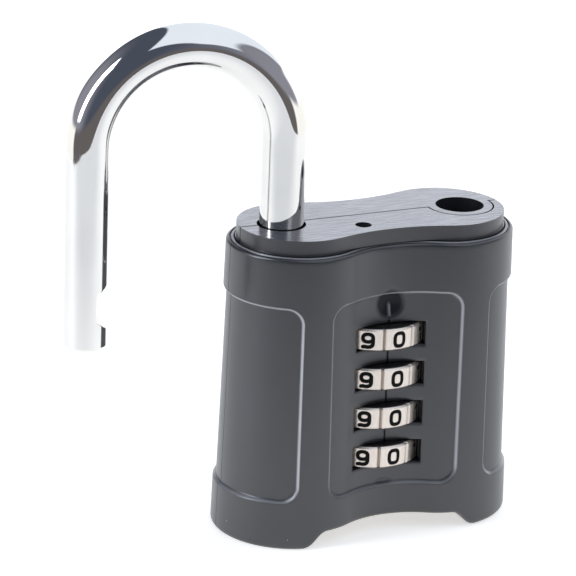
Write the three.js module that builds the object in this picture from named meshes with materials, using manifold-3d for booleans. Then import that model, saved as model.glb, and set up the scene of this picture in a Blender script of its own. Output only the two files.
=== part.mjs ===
// A four-dial combination padlock, open, with its shackle lowered and swung away.
// Millimetres, +Z up. The origin is in the top face, midway between the two shackle holes.
import * as THREE from "three";
import { mergeVertices } from "three/addons/utils/BufferGeometryUtils.js";
import Module from "manifold-3d";

const { Manifold, Mesh } = await loadManifold();

// ---- Driving dimensions ----

// Body
const bodyHeight = 58;
const lobeSpacing = 29; // between the centres of the two round lobes
const neckLobeRadius = 11.2;
const neckHalfWaist = 8.8;
const neckHeight = 2.7;
const neckShadowGap = 0.3; // groove between the neck and the jacket's top edge
const jacketLobeRadius = 12.95;
const jacketHalfWaist = 9.3;
const jacketDraft = 1.3; // how far the jacket flares from its shoulder to its base
const jacketWall = 1.3;
const jacketFloor = 4.6;
const shoulderRound = 0.6;
const baseRound = 1.1;
const seamY = 0.5; // the halves of the body meet here
const fitGap = 0.3; // between pieces that touch
const archHeight = 2.9;
const archFlatHalfWidth = 12.4;
const archFootHalfWidth = 17.8;

// Panels sunk into the jacket
const panelDepth = 0.6;
const panelTop = -11.9;
const panelBottom = -49.2;
const waistPanelHalfWidth = 13.2;
const sidePanelStart = 18.2;
const panelRamp = 0.7;

// Shackle
const legSpacing = 35.8;
const legRadius = 4;
const legClearance = 0.45;
const archCentreZ = 16;
const toeEndZ = -20.6;
const heelEndZ = -45;
const swingAngle = 173; // from closed, in degrees
const shackleLift = 22;
const legChamfer = 0.7;
const toeSocketDepth = 23;
const toeTubeWall = 1.6;
const notchDepth = 2.9;
const notchCentreAboveToe = 8;
const notchMouth = 9.1;
const notchFloor = 4.9;
const heelNeckRadius = 2.7;
const heelFootHeight = 3;
const heelPinRadius = 1;
const heelPinHalfLength = 7;
const heelNeckSlack = 0.7; // left over in the neck when the shackle is fully up
const washerHeight = 1;
const followerHeight = 3.6;

// Dials
const dialCount = 4;
const dialRadius = 9.5;
const dialHeight = 4.1;
const dialPitch = 7.58;
const firstDialZ = -20.1;
const dialAxisY = -2.6;
const dialBore = 5.6;
const digitsPerDial = 10;
const dialTurn = -13; // where the groove before the front pad stands, in degrees
const dialGrooveWidth = 0.5;
const dialGrooveDepth = 0.35;
const dialBevel = 0.35;
const dialSideClearance = 0.35;
const pocketClearance = 0.3; // above and below each dial
const windowHalfWidth = 6.9;
const windowClearance = 0.15;
const dialWallGap = 0.1; // least room between a dial and the jacket beside its window
const dimpleRadius = 2.9;
const dimpleDepth = 1.2;
const dimpleAboveWindow = 3.8;

// Code mechanism
const clutchBore = 3.4;
const clutchLipBore = 2.7;
const clutchLipHeight = 1;
const clutchNotchWidth = 1.6;
const spindleRadius = 2.1;
const spindleToothReach = 3;
const spindleToothWidth = 1;
const spindleToothHeight = 1;
const collarRadius = 7;
const collarHeight = 1;
const collarFrontWall = 1.2;
const spindleTravel = 1;
const spindleTail = 2.5; // below the last dial's pocket
const springSeatFloor = 1.5; // of the case, under the spindle's spring
const resetX = -4.1;
const resetY = -5.2;
const resetPinRadius = 1.2;
const resetPinRecess = 1.6;
const boltWidth = 3.6;
const boltHeight = 3;
const boltLength = 11;
const boltTravel = 2.9;
const boltTipGap = 0.4; // between the bolt's tip and the floor of the notch
const boltRise = 0.6; // above the middle of the notch
const collarWall = 0.4; // between the bolt's channel and the collar's pocket
const boltSpringLength = 6;
const springWire = 0.5;
const boltSpringRadius = 1.5;
const spindleSpringRadius = 1.7;
const detentPlateWidth = 6;
const detentPlateThickness = 0.5;
const detentBump = 0.15; // how far a bump stands out of its stalk
const detentGap = 0.15; // between a bump and its dial
const detentBumpRadius = 1;
const detentStalkRadius = 1.5;
const screwRadius = 1;
const screwHeadRadius = 2;
const screwHeadHeight = 1.5;
const screwHalfLength = 8; // from the middle to a screw's tip
const screwRecess = 0.35; // least depth of a screw's head under the back of the case
const rightScrewX = 11.9;
const upperScrewFromBore = 2.6;
const lowerScrewFromBore = 2;
const screwAboveBolt = 2.5;
const screwAboveDial = 1.5;
const screwBelowDials = 4.6;
const lap = 0.1; // how far joined solids run into each other
const cutMargin = 1; // how far a cutter runs past the face it opens

// ---- Worked-out places ----

const baseZ = -bodyHeight;
const jacketTopZ = -neckHeight - neckShadowGap;
const heelX = -legSpacing / 2;
const toeX = legSpacing / 2;
const boreRadius = legRadius + legClearance;
const coreLobeRadius = jacketLobeRadius - jacketWall - fitGap;
const coreHalfWaist = jacketHalfWaist - jacketWall - fitGap;
const coreBottomZ = baseZ + jacketFloor + fitGap;
const pocketHeight = dialHeight + 2 * pocketClearance;
const pocketRadius = dialRadius + dialSideClearance;
const dialZs = Array.from({ length: dialCount }, (_, i) => firstDialZ - i * dialPitch);
const washerTopZ = heelEndZ - fitGap;
const followerTopZ = washerTopZ - washerHeight - fitGap;
const heelBoreBottomZ = followerTopZ - followerHeight - 2 * fitGap;
const heelNeckTopZ = heelEndZ + heelFootHeight + shackleLift + 2 * heelPinRadius + heelNeckSlack;
const heelPinX = heelX + heelNeckRadius + fitGap + heelPinRadius;
const heelPinZ = heelNeckTopZ - fitGap - heelPinRadius;
const boltZ = toeEndZ + notchCentreAboveToe + boltRise;
const boltTipX = toeX - legRadius + notchDepth - boltTipGap;
const boltTailX = boltTipX - boltLength;
const boltPocketX = boltTailX - boltSpringLength - boltTravel - fitGap;
const collarFrontY = -coreHalfWaist + collarFrontWall;
const collarPocketTopZ = boltZ - boltHeight / 2 - fitGap - collarWall;
const collarTopZ = collarPocketTopZ - fitGap;
const collarPocketBottomZ = collarTopZ - collarHeight - spindleTravel - fitGap;
const resetPinBottomZ = collarTopZ + fitGap;
const lastPocketBottomZ = dialZs[dialCount - 1] - pocketHeight / 2;
const spindleBottomZ = lastPocketBottomZ - spindleTail;
const springSeatZ = coreBottomZ + springSeatFloor;
const screwPlaces = [
  [heelX + boreRadius + upperScrewFromBore, boltZ + screwAboveBolt],
  [rightScrewX, dialZs[1] + screwAboveDial],
  [heelX + boreRadius + lowerScrewFromBore, lastPocketBottomZ - screwBelowDials],
  [rightScrewX, lastPocketBottomZ - screwBelowDials],
];
const nearestScrew = Math.min(...screwPlaces.map(([x]) => Math.abs(x)));
const screwHeadTopY = caseBackAt(nearestScrew - screwHeadRadius) - screwRecess;
const screwSeatY = screwHeadTopY - screwHeadHeight;

// ---- Materials ----

const paintedBlack = new THREE.MeshStandardMaterial({ color: 0x2b2c2f, roughness: 0.42, metalness: 0.1 });
const chromePlate = new THREE.MeshStandardMaterial({ color: 0xe6e8ea, roughness: 0.08, metalness: 1 });
const satinNickel = new THREE.MeshStandardMaterial({ color: 0xd9cfc0, roughness: 0.3, metalness: 1 });
const plainSteel = new THREE.MeshStandardMaterial({ color: 0x9a9da1, roughness: 0.35, metalness: 1 });
const brass = new THREE.MeshStandardMaterial({ color: 0xb8924a, roughness: 0.35, metalness: 1 });

// ---- Solids ----

async function loadManifold() {
  const wasm = await Module();
  wasm.setup();
  return wasm;
}

function solid(geometry) {
  const bare = geometry.index ? geometry.toNonIndexed() : geometry.clone();
  bare.deleteAttribute("normal");
  bare.deleteAttribute("uv");
  const merged = mergeVertices(bare, 1e-4);
  return new Manifold(
    new Mesh({
      numProp: 3,
      vertProperties: merged.attributes.position.array,
      triVerts: new Uint32Array(merged.index.array),
    }),
  );
}

function geometryOf(manifold) {
  const mesh = manifold.getMesh();
  const geometry = new THREE.BufferGeometry();
  geometry.setAttribute("position", new THREE.BufferAttribute(mesh.vertProperties, 3));
  geometry.setIndex(new THREE.BufferAttribute(mesh.triVerts, 1));
  geometry.computeVertexNormals();
  return geometry;
}

function box(x0, x1, y0, y1, z0, z1) {
  const geometry = new THREE.BoxGeometry(x1 - x0, y1 - y0, z1 - z0);
  geometry.translate((x0 + x1) / 2, (y0 + y1) / 2, (z0 + z1) / 2);
  return solid(geometry);
}

// An upright cylinder or cone.
function post(x, y, bottomZ, topZ, radius, segments = 32, topRadius = radius) {
  const geometry = new THREE.CylinderGeometry(topRadius, radius, topZ - bottomZ, segments);
  geometry.rotateX(Math.PI / 2);
  geometry.translate(x, y, (bottomZ + topZ) / 2);
  return solid(geometry);
}

// A cylinder lying along Y.
function crossPost(x, z, y0, y1, radius, segments = 16) {
  const geometry = new THREE.CylinderGeometry(radius, radius, y1 - y0, segments);
  geometry.translate(x, (y0 + y1) / 2, z);
  return solid(geometry);
}

// A solid of revolution about Z, from [radius, z] points that run up the outside.
function turned(profile, segments = 32) {
  const points = profile.map(([r, z]) => new THREE.Vector2(r, z));
  const geometry = new THREE.LatheGeometry(points, segments);
  geometry.rotateX(Math.PI / 2);
  return solid(geometry);
}

function ring(outer, inner, bottomZ, topZ, segments = 32) {
  return turned(
    [
      [inner, bottomZ],
      [outer, bottomZ],
      [outer, topZ],
      [inner, topZ],
      [inner, bottomZ],
    ],
    segments,
  );
}

// ---- The waisted outline: two round lobes joined by a hollow curve front and back ----

// The hollow's radius, from the lobe circle and the waist it must touch.
function hollowRadius(lobeRadius, halfWaist) {
  const half = lobeSpacing / 2;
  return (half * half + halfWaist * halfWaist - lobeRadius * lobeRadius) / (2 * (lobeRadius - halfWaist));
}

// How far back the case reaches at a distance across from the middle.
function caseBackAt(across) {
  const half = lobeSpacing / 2;
  const hollow = hollowRadius(coreLobeRadius, coreHalfWaist);
  const lean = Math.atan2(coreHalfWaist + hollow, half);
  if (across < hollow * Math.cos(lean)) {
    return coreHalfWaist + hollow - Math.sqrt(hollow ** 2 - across ** 2);
  }
  return Math.sqrt(coreLobeRadius ** 2 - (across - half) ** 2);
}

// Points with their outward directions, anticlockwise from the middle of the front hollow.
function waistedOutline(lobeRadius, halfWaist, lobeSteps = 26, hollowSteps = 10) {
  const hollow = hollowRadius(lobeRadius, halfWaist);
  const lean = Math.atan2(halfWaist + hollow, lobeSpacing / 2);
  const quarter = [];
  for (let i = 0; i <= hollowSteps / 2; i++) {
    const a = (Math.PI / 2 - lean) * (i / (hollowSteps / 2));
    const direction = [-Math.sin(a), -Math.cos(a)];
    quarter.push({
      x: hollow * Math.sin(a),
      y: -halfWaist - hollow + hollow * Math.cos(a),
      nx: direction[0],
      ny: direction[1],
    });
  }
  const lobe = [];
  for (let i = 1; i < lobeSteps; i++) {
    const a = (Math.PI - lean) * ((2 * i) / lobeSteps - 1);
    lobe.push({
      x: lobeSpacing / 2 + lobeRadius * Math.cos(a),
      y: lobeRadius * Math.sin(a),
      nx: Math.cos(a),
      ny: Math.sin(a),
    });
  }
  const frontRight = quarter;
  const backRight = [...quarter].reverse().map((p) => ({ ...p, y: -p.y, ny: -p.ny }));
  const right = [...frontRight, ...lobe, ...backRight];
  const left = right.slice(1, -1).map((p) => ({ x: -p.x, y: -p.y, nx: -p.nx, ny: -p.ny }));
  return [...right, ...left];
}

// A closed skin over a stack of rings, each a list of [x, y, z] with the same count.
function stackedRings(rings) {
  const count = rings[0].length;
  const positions = rings.flat(2);
  const index = [];
  for (let r = 0; r + 1 < rings.length; r++) {
    for (let i = 0; i < count; i++) {
      const a = r * count + i;
      const b = r * count + ((i + 1) % count);
      index.push(a, b, b + count, a, b + count, a + count);
    }
  }
  for (const [r, up] of [[0, false], [rings.length - 1, true]]) {
    const flat = rings[r].map(([x, y]) => new THREE.Vector2(x, y));
    for (const face of THREE.ShapeUtils.triangulateShape(flat, [])) {
      const corners = face.map((i) => r * count + i);
      index.push(...(up ? corners : corners.reverse()));
    }
  }
  const geometry = new THREE.BufferGeometry();
  geometry.setAttribute("position", new THREE.BufferAttribute(new Float32Array(positions), 3));
  geometry.setIndex(index);
  return solid(geometry);
}

function waistedBlock(lobeRadius, halfWaist, bottomZ, topZ) {
  const outline = waistedOutline(lobeRadius, halfWaist);
  return stackedRings([bottomZ, topZ].map((z) => outline.map((p) => [p.x, p.y, z])));
}

// ---- Body: an inner case in two halves inside a jacket in two halves ----

function panelSink(p) {
  const across = Math.abs(p.x);
  const insideWaist = (waistPanelHalfWidth - across) / panelRamp;
  const insideSide = (across - sidePanelStart) / panelRamp;
  return panelDepth * THREE.MathUtils.clamp(Math.max(insideWaist, insideSide), 0, 1);
}

function jacketOuter() {
  const outline = waistedOutline(jacketLobeRadius, jacketHalfWaist, 34, 20);
  const levels = [
    { z: baseZ, inset: baseRound * 0.8, sunk: false },
    { z: baseZ + baseRound * 0.3, inset: baseRound * 0.3, sunk: false },
    { z: baseZ + baseRound, inset: 0, sunk: false },
    { z: panelBottom, inset: 0, sunk: false },
    { z: panelBottom + panelRamp, inset: 0, sunk: true },
    { z: panelTop - panelRamp, inset: 0, sunk: true },
    { z: panelTop, inset: 0, sunk: false },
    { z: jacketTopZ - shoulderRound, inset: 0, sunk: false },
    { z: jacketTopZ - shoulderRound * 0.3, inset: shoulderRound * 0.3, sunk: false },
    { z: jacketTopZ, inset: shoulderRound * 0.8, sunk: false },
  ];
  return stackedRings(
    levels.map(({ z, inset, sunk }) => {
      const flare = (jacketDraft * (jacketTopZ - z)) / (jacketTopZ - baseZ);
      return outline.map((p) => {
        const out = flare - inset - (sunk ? panelSink(p) : 0);
        return [p.x + p.nx * out, p.y + p.ny * out, z];
      });
    }),
  );
}

// The opening in the front wall that one dial stands out of.
function dialWindow(z) {
  const half = dialHeight / 2 + windowClearance;
  const front = -2 * jacketLobeRadius;
  return box(-windowHalfWidth, windowHalfWidth, front, dialAxisY, z - half, z + half);
}

// Room for the dial itself, where the jacket's inner wall comes near it beside the window.
function dialRoom(z) {
  const half = dialHeight / 2 + windowClearance;
  return post(0, dialAxisY, z - half, z + half, dialRadius + dialWallGap, 48);
}

function dimple() {
  const sphereRadius = (dimpleRadius ** 2 + dimpleDepth ** 2) / (2 * dimpleDepth);
  const geometry = new THREE.SphereGeometry(sphereRadius, 24, 16);
  const z = dialZs[0] + dialHeight / 2 + windowClearance + dimpleAboveWindow;
  geometry.translate(0, -jacketHalfWaist + panelDepth - sphereRadius + dimpleDepth, z);
  return solid(geometry);
}

// The space under the base, between its two feet: a flat roof with a smooth slope at each end.
function archCutter() {
  const middle = (archFlatHalfWidth + archFootHalfWidth) / 2;
  const below = -2;
  const profile = new THREE.Shape();
  profile.moveTo(-archFootHalfWidth, below);
  profile.lineTo(-archFootHalfWidth, 0);
  profile.bezierCurveTo(-middle, 0, -middle, archHeight, -archFlatHalfWidth, archHeight);
  profile.lineTo(archFlatHalfWidth, archHeight);
  profile.bezierCurveTo(middle, archHeight, middle, 0, archFootHalfWidth, 0);
  profile.lineTo(archFootHalfWidth, below);
  const depth = 4 * jacketLobeRadius;
  const geometry = new THREE.ExtrudeGeometry(profile, { depth, curveSegments: 8, bevelEnabled: false });
  geometry.rotateX(Math.PI / 2);
  geometry.translate(0, depth / 2, baseZ);
  return solid(geometry);
}

function makeJacket() {
  const cavity = waistedBlock(
    jacketLobeRadius - jacketWall,
    jacketHalfWaist - jacketWall,
    baseZ + jacketFloor,
    cutMargin,
  );
  let jacket = jacketOuter().subtract(cavity).subtract(archCutter()).subtract(dimple());
  for (const z of dialZs) {
    jacket = jacket.subtract(dialWindow(z)).subtract(dialRoom(z));
  }
  return jacket;
}

function makeCore() {
  const neck = waistedBlock(neckLobeRadius, neckHalfWaist, -neckHeight, 0);
  const core = waistedBlock(coreLobeRadius, coreHalfWaist, coreBottomZ, -neckHeight);
  const cuts = [
    post(heelX, 0, heelBoreBottomZ, cutMargin, boreRadius),
    post(toeX, 0, -toeSocketDepth, cutMargin, boreRadius),
    post(resetX, resetY, collarPocketTopZ - lap, cutMargin, resetPinRadius + fitGap, 20),
    post(0, dialAxisY, collarPocketBottomZ, collarPocketTopZ, collarRadius + fitGap, 32).trimByPlane(
      [0, 1, 0],
      collarFrontY - fitGap,
    ),
    post(0, dialAxisY, springSeatZ, collarPocketTopZ, spindleToothReach + fitGap, 24),
    box(
      boltPocketX,
      toeX,
      -boltWidth / 2 - fitGap,
      boltWidth / 2 + fitGap,
      boltZ - boltHeight / 2 - fitGap,
      boltZ + boltHeight / 2 + fitGap,
    ),
    crossPost(
      heelPinX,
      heelPinZ,
      -heelPinHalfLength - fitGap,
      heelPinHalfLength + fitGap,
      heelPinRadius + fitGap,
    ),
    box(
      -detentPlateWidth / 2 - fitGap,
      detentPlateWidth / 2 + fitGap,
      0,
      2 * coreHalfWaist,
      dialZs[dialCount - 1] - pocketHeight / 2,
      dialZs[0] + pocketHeight / 2,
    ),
  ];
  for (const z of dialZs) {
    cuts.push(post(0, dialAxisY, z - pocketHeight / 2, z + pocketHeight / 2, pocketRadius, 48));
  }
  for (const [x, z] of screwPlaces) {
    cuts.push(crossPost(x, z, -screwHalfLength - fitGap, 2 * coreLobeRadius, screwRadius + fitGap));
    cuts.push(crossPost(x, z, screwSeatY - fitGap, 2 * coreLobeRadius, screwHeadRadius + fitGap));
  }
  return cuts.reduce((body, cut) => body.subtract(cut), neck.add(core));
}

function frontOf(body) {
  return body.trimByPlane([0, -1, 0], -seamY + fitGap / 2);
}

function backOf(body) {
  return body.trimByPlane([0, 1, 0], seamY + fitGap / 2);
}

// The case's halves: the wall round the toe hole belongs to the back half.
function splitCase(core) {
  const tubeRadius = boreRadius + toeTubeWall;
  const tube = post(toeX, 0, 2 * baseZ, cutMargin, tubeRadius, 48);
  const widerTube = post(toeX, 0, 2 * baseZ, cutMargin, tubeRadius + fitGap, 48);
  return {
    front: frontOf(core).subtract(widerTube),
    back: backOf(core).add(core.intersect(tube)),
  };
}

// ---- Shackle, in its own plane: heel on the Z axis, toe towards +X ----

class ShacklePath extends THREE.Curve {
  constructor(bottomHeel, bottomToe) {
    super();
    this.radius = legSpacing / 2;
    this.heelLength = archCentreZ - bottomHeel;
    this.archLength = Math.PI * this.radius;
    this.toeLength = archCentreZ - bottomToe;
    this.total = this.heelLength + this.archLength + this.toeLength;
  }

  getPoint(t, target = new THREE.Vector3()) {
    const s = t * this.total;
    if (s < this.heelLength) {
      return target.set(0, 0, archCentreZ - this.heelLength + s);
    }
    const along = Math.min(s - this.heelLength, this.archLength);
    const a = Math.PI - along / this.radius;
    const down = Math.max(s - this.heelLength - this.archLength, 0);
    return target.set(
      this.radius * (1 + Math.cos(a)),
      0,
      archCentreZ + this.radius * Math.sin(a) - down,
    );
  }

  getPointAt(t, target) {
    return this.getPoint(t, target);
  }
}

function legTip(x, endZ, height) {
  return post(x, 0, endZ, endZ + legChamfer, legRadius - legChamfer, 20, legRadius).add(
    post(x, 0, endZ + legChamfer, endZ + height, legRadius, 20),
  );
}

function makeShackle() {
  const section = new THREE.Shape();
  section.absarc(0, 0, legRadius, 0, 2 * Math.PI);
  const overlap = 3; // of the bent bar and the toe's straight end
  const path = new ShacklePath(0, toeEndZ + overlap);
  const bar = new THREE.ExtrudeGeometry(section, {
    steps: 44,
    extrudePath: path,
    curveSegments: 10,
    bevelEnabled: false,
  });
  const toe = legTip(legSpacing, toeEndZ, overlap + lap);
  const heel = legTip(0, heelEndZ, -heelEndZ + lap);
  const neckZ = heelEndZ + heelFootHeight;
  const neckCut = ring(legRadius + cutMargin, heelNeckRadius, neckZ, heelNeckTopZ);
  return solid(bar).add(toe).add(heel).subtract(neckCut).subtract(toeNotch());
}

// The catch's notch, in the side of the toe that faces the heel.
function toeNotch() {
  const mouthX = legSpacing - legRadius;
  const slope = (notchMouth - notchFloor) / 2 / notchDepth;
  const half = notchMouth / 2 + cutMargin * slope;
  const profile = new THREE.Shape([
    new THREE.Vector2(mouthX - cutMargin, -half),
    new THREE.Vector2(mouthX + notchDepth, -notchFloor / 2),
    new THREE.Vector2(mouthX + notchDepth, notchFloor / 2),
    new THREE.Vector2(mouthX - cutMargin, half),
  ]);
  const geometry = new THREE.ExtrudeGeometry(profile, { depth: 4 * legRadius, bevelEnabled: false });
  geometry.rotateX(Math.PI / 2);
  geometry.translate(0, 2 * legRadius, toeEndZ + notchCentreAboveToe);
  return solid(geometry);
}

// ---- Dials and what turns with them ----

function makeDial() {
  const half = dialHeight / 2;
  let dial = turned(
    [
      [dialBore, -half],
      [dialRadius - dialBevel, -half],
      [dialRadius, -half + dialBevel],
      [dialRadius, half - dialBevel],
      [dialRadius - dialBevel, half],
      [dialBore, half],
      [dialBore, -half],
    ],
    4 * digitsPerDial,
  );
  for (let i = 0; i < digitsPerDial; i++) {
    const groove = box(
      -dialGrooveWidth / 2,
      dialGrooveWidth / 2,
      -dialRadius - cutMargin,
      -dialRadius + dialGrooveDepth,
      -half - cutMargin,
      half + cutMargin,
    );
    dial = dial.subtract(groove.rotate([0, 0, (360 / digitsPerDial) * i + dialTurn]));
  }
  return dial;
}

// A sleeve in each dial's bore; its notched lip lets a spindle tooth past at one number only.
function makeClutch() {
  const half = dialHeight / 2;
  const outer = dialBore - fitGap;
  const sleeve = ring(outer, clutchBore, -half, half, 24);
  const lip = ring(clutchBore + lap, clutchLipBore, half - clutchLipHeight, half, 24);
  const past = half + cutMargin;
  const notch = box(-clutchNotchWidth / 2, clutchNotchWidth / 2, 0, clutchBore, -past, past);
  return sleeve.add(lip).subtract(notch);
}

// A rod with a collar under the reset pin and one tooth below each clutch lip.
function makeSpindle() {
  let spindle = post(0, 0, spindleBottomZ, collarTopZ, spindleRadius, 20);
  const collar = post(0, 0, collarTopZ - collarHeight, collarTopZ, collarRadius, 32);
  spindle = spindle.add(collar.trimByPlane([0, 1, 0], collarFrontY - dialAxisY));
  for (const z of dialZs) {
    const topZ = z + dialHeight / 2 - clutchLipHeight - fitGap;
    const half = spindleToothWidth / 2;
    spindle = spindle.add(box(-half, half, 0, spindleToothReach, topZ - spindleToothHeight, topZ));
  }
  return spindle;
}

// ---- Small parts ----

class Helix extends THREE.Curve {
  constructor(radius, length, turns) {
    super();
    Object.assign(this, { radius, length, turns });
  }

  getPoint(t, target = new THREE.Vector3()) {
    const a = 2 * Math.PI * this.turns * t;
    return target.set(this.radius * Math.cos(a), this.radius * Math.sin(a), this.length * t);
  }
}

// A coil spring standing on z = 0.
function coilSpring(radius, length, turns) {
  const section = new THREE.Shape();
  section.absarc(0, 0, springWire / 2, 0, 2 * Math.PI);
  const path = new Helix(radius, length - springWire, turns);
  const geometry = new THREE.ExtrudeGeometry(section, {
    steps: Math.round(9 * turns),
    extrudePath: path,
    curveSegments: 3,
    bevelEnabled: false,
  });
  geometry.translate(0, 0, springWire / 2);
  return solid(geometry);
}

function makeBolt() {
  const half = boltHeight / 2;
  return box(boltTailX, boltTipX, -boltWidth / 2, boltWidth / 2, boltZ - half, boltZ + half);
}

// A spring strip behind the dials, with one bump that reaches almost to each.
function makeDetentPlate() {
  const y = coreHalfWaist - detentPlateThickness;
  const half = detentPlateWidth / 2;
  const bottomZ = lastPocketBottomZ + fitGap;
  const topZ = dialZs[0] + pocketHeight / 2 - fitGap;
  let plate = box(-half, half, y, coreHalfWaist, bottomZ, topZ);
  const tipY = dialAxisY + dialRadius + detentGap;
  for (const z of dialZs) {
    plate = plate
      .add(crossPost(0, z, tipY, tipY + detentBump + lap, detentBumpRadius, 12))
      .add(crossPost(0, z, tipY + detentBump, y + lap, detentStalkRadius, 12));
  }
  return plate;
}

function makeScrew(x, z) {
  const shank = crossPost(x, z, -screwHalfLength, screwSeatY + lap, screwRadius);
  return shank.add(crossPost(x, z, screwSeatY, screwHeadTopY, screwHeadRadius, 20));
}

// ---- The assembly ----

const padlock = new THREE.Group();

function addPiece(parent, name, shape, material) {
  const mesh = new THREE.Mesh(geometryOf(shape), material);
  mesh.name = name;
  parent.add(mesh);
  return mesh;
}

const caseHalves = splitCase(makeCore());
addPiece(padlock, "case_front", caseHalves.front, paintedBlack);
addPiece(padlock, "case_back", caseHalves.back, paintedBlack);

const jacket = makeJacket();
addPiece(padlock, "jacket_front", frontOf(jacket), paintedBlack);
addPiece(padlock, "jacket_back", backOf(jacket), paintedBlack);

const heelAxis = new THREE.Group();
heelAxis.position.set(heelX, 0, 0);
padlock.add(heelAxis);
const shackleMesh = addPiece(heelAxis, "shackle", makeShackle(), chromePlate);
shackleMesh.rotation.z = THREE.MathUtils.degToRad(swingAngle);
addPiece(
  heelAxis,
  "thrust_washer",
  post(0, 0, washerTopZ - washerHeight, washerTopZ, legRadius, 24),
  plainSteel,
);
addPiece(
  heelAxis,
  "shackle_follower",
  post(0, 0, followerTopZ - followerHeight, followerTopZ, legRadius, 24),
  plainSteel,
);
addPiece(
  padlock,
  "heel_pin",
  crossPost(heelPinX, heelPinZ, -heelPinHalfLength, heelPinHalfLength, heelPinRadius),
  plainSteel,
);

const dialAxis = new THREE.Group();
dialAxis.position.set(0, dialAxisY, 0);
padlock.add(dialAxis);
dialZs.forEach((z, i) => {
  const stack = new THREE.Group();
  stack.position.z = z;
  dialAxis.add(stack);
  addPiece(stack, `dial_${i + 1}`, makeDial(), satinNickel);
  addPiece(stack, `clutch_${i + 1}`, makeClutch(), brass);
});
addPiece(dialAxis, "spindle", makeSpindle(), plainSteel);
const spindleSpringLength = spindleBottomZ - springSeatZ - 2 * fitGap;
const spindleSpring = addPiece(
  dialAxis,
  "spindle_spring",
  coilSpring(spindleSpringRadius, spindleSpringLength, 3),
  plainSteel,
);
spindleSpring.position.z = springSeatZ + fitGap;

addPiece(padlock, "locking_bolt", makeBolt(), plainSteel);
const boltSpring = addPiece(
  padlock,
  "bolt_spring",
  coilSpring(boltSpringRadius, boltSpringLength - 2 * fitGap, 5),
  plainSteel,
);
boltSpring.rotation.y = Math.PI / 2;
boltSpring.position.set(boltTailX - boltSpringLength + fitGap, 0, boltZ);

addPiece(
  padlock,
  "reset_pin",
  post(resetX, resetY, resetPinBottomZ, -resetPinRecess, resetPinRadius, 20),
  plainSteel,
);
addPiece(padlock, "detent_plate", makeDetentPlate(), plainSteel);
screwPlaces.forEach(([x, z], i) => addPiece(padlock, `case_screw_${i + 1}`, makeScrew(x, z), plainSteel));

export default padlock;
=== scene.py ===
"""Looks for an open combination padlock: black body, chrome shackle, four numbered dials.

Lengths are in millimetres in the property groups and in the shape functions, in the lock's own frame:
+Z up, origin in the top face midway between the two shackle holes. Meshes are written in metres.
"""

import math

import bmesh
import bpy
import numpy as np
from bpy.props import FloatProperty, FloatVectorProperty, IntProperty, PointerProperty
from mathutils import Matrix, Vector


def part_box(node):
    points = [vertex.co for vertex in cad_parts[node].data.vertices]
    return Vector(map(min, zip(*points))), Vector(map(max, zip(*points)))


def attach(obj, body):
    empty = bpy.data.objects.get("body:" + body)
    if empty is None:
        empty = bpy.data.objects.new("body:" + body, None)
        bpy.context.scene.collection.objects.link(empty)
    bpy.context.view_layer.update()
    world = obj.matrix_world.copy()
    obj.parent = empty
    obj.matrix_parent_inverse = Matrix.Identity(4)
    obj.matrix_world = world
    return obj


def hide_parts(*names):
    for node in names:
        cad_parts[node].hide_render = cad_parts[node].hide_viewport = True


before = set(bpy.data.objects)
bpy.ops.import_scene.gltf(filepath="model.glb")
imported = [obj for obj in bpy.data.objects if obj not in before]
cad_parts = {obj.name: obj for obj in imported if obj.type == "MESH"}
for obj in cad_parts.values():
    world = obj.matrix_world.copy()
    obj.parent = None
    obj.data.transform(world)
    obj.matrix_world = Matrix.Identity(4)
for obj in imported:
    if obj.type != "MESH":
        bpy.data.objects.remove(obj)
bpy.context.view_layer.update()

bl_info = {
    "name": "Combination Padlock",
    "version": (1, 0, 0),
    "blender": (4, 5, 0),
    "location": "View3D > Sidebar > Padlock",
    "description": "Builds the surfaces, finishes and studio of a four-dial combination padlock",
    "category": "Add Mesh",
}

MM = 0.001
TAU = 2 * math.pi


def cad_box(node):
    """Lowest and highest corner of a CAD node, in millimetres."""
    low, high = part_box(node)
    return np.array(low) / MM, np.array(high) / MM


def cad_middle(node):
    """Middle of a CAD node's box, in millimetres."""
    low, high = cad_box(node)
    return (low + high) / 2


DIALS = [f"dial_{i}" for i in range(1, 5)]
CLUTCHES = [f"clutch_{i}" for i in range(1, 5)]
SCREWS = [f"case_screw_{i}" for i in range(1, 5)]
HEEL_X = float(cad_middle("thrust_washer")[0])
BASE_Z = float(cad_box("jacket_front")[0][2])
JACKET_TOP_Z = float(cad_box("jacket_front")[1][2])


# ---- Sizes and finishes that a user would change ----


def length(label, text, default):
    """A length in millimetres."""
    return FloatProperty(name=label, description=text, default=default, precision=3)


def angle(label, text, degrees):
    """An angle, given in degrees."""
    return FloatProperty(name=label, description=text, default=math.radians(degrees), subtype="ANGLE")


def plain_number(label, text, default):
    """A plain number."""
    return FloatProperty(name=label, description=text, default=default)


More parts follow.
